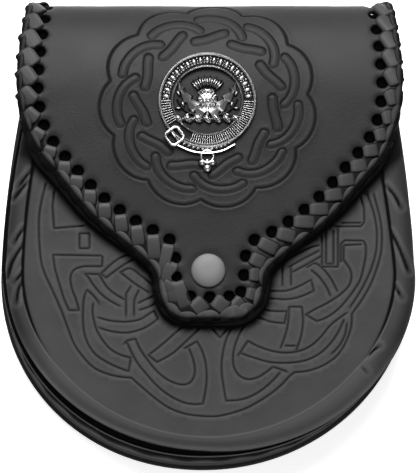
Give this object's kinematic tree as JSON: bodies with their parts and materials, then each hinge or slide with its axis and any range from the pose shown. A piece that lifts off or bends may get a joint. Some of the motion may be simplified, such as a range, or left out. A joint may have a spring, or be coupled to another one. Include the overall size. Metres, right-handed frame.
{
  "type": "sporran pouch",
  "caption": "Rounded moulded leather pouch with a folded, laced flap, a press stud, a round strap badge and two belt keepers on its back.",
  "frame": {"origin": "centre of the bounding box in plan, at the height of the surface that the pouch lies on, back down", "axes": "+Z out of the front of the pouch, +Y towards its folded top edge, +X to the right seen from the front"},
  "size_m": [0.1793, 0.2056, 0.0442],
  "materials": {
    "pouch_leather": "black, satin, tooled",
    "gusset_leather": "black, satin",
    "flap_leather": "black, satin, tooled",
    "lace": "black, smooth",
    "keeper_leather": "black, satin",
    "snap_metal": "satin nickel",
    "badge_metal": "antiqued silver",
    "rivet_metal": "satin nickel"
  },
  "bodies": {
    "root": {"front_panel": "pouch_leather", "gusset": "gusset_leather", "back_and_flap": "flap_leather", "edge_lacing": "lace", "snap_cap": "snap_metal", "snap_stud": "snap_metal", "crest_badge": "badge_metal", "keeper_left": "keeper_leather", "keeper_right": "keeper_leather", "keeper_rivet_1": "rivet_metal", "keeper_rivet_2": "rivet_metal", "keeper_rivet_3": "rivet_metal", "keeper_rivet_4": "rivet_metal"}
  },
  "joints": []
}
